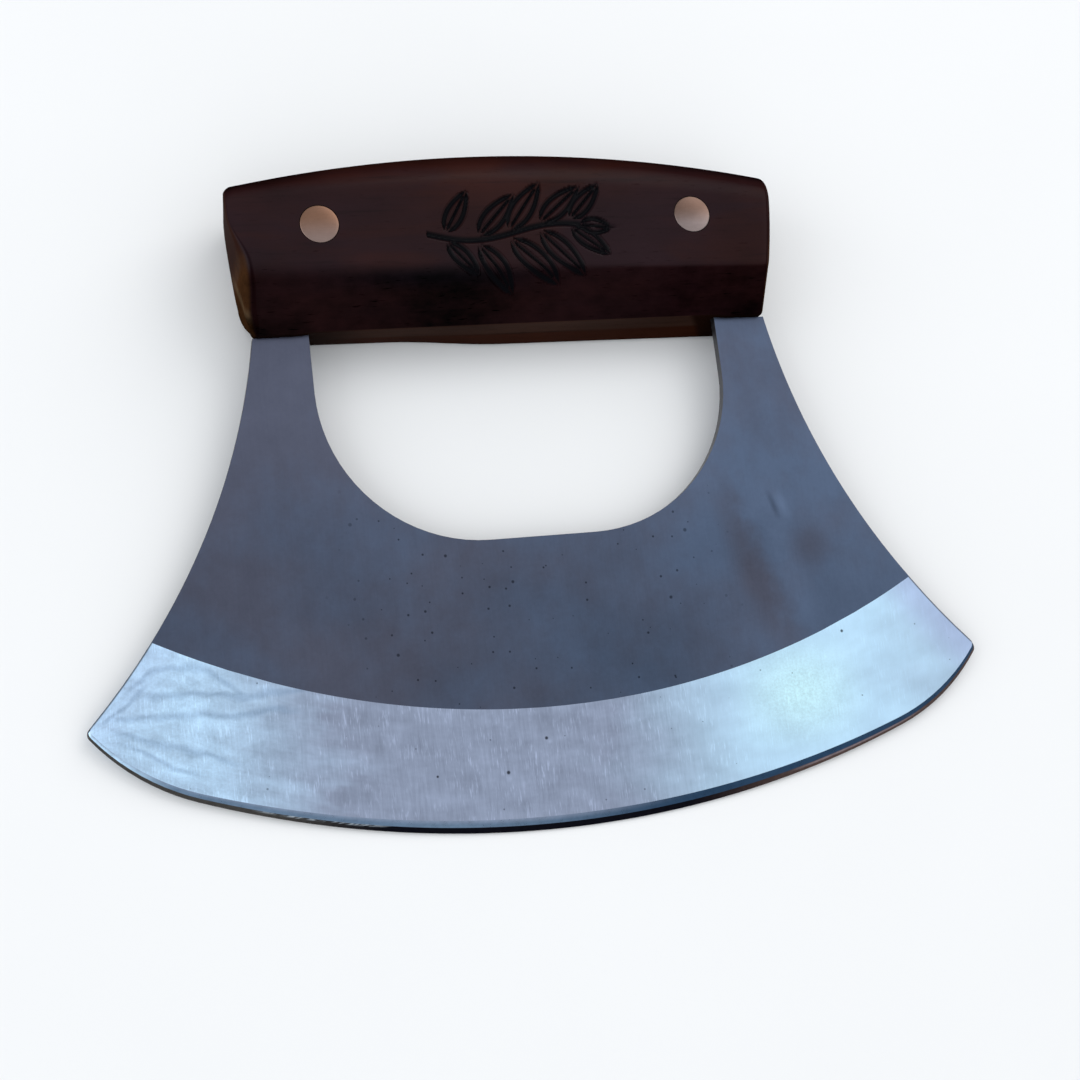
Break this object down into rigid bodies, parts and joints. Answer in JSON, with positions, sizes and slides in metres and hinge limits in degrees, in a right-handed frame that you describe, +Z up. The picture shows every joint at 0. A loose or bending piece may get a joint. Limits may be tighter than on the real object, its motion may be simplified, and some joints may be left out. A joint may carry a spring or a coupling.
{
  "type": "ulu knife",
  "caption": "Ulu knife: crescent steel blade with a ground edge and a closed finger opening, pinned into an arched wooden handle.",
  "frame": {"origin": "on the table under the middle of the knife's bounding box, as it lies on its back", "axes": "+X along the handle and from tip to tip, +Y from the cutting edge to the handle, +Z up, out of the front face"},
  "size_m": [0.1524, 0.115, 0.0165],
  "materials": {
    "blade_steel": "satin plate with a brighter ground face and fine grinding lines across the edge",
    "handle_wood": "very dark reddish-brown wood under a satin varnish",
    "pin_steel": "polished pin ends"
  },
  "bodies": {
    "root": {"blade": "blade_steel", "handle": "handle_wood", "pin_left": "pin_steel", "pin_right": "pin_steel"}
  },
  "joints": []
}
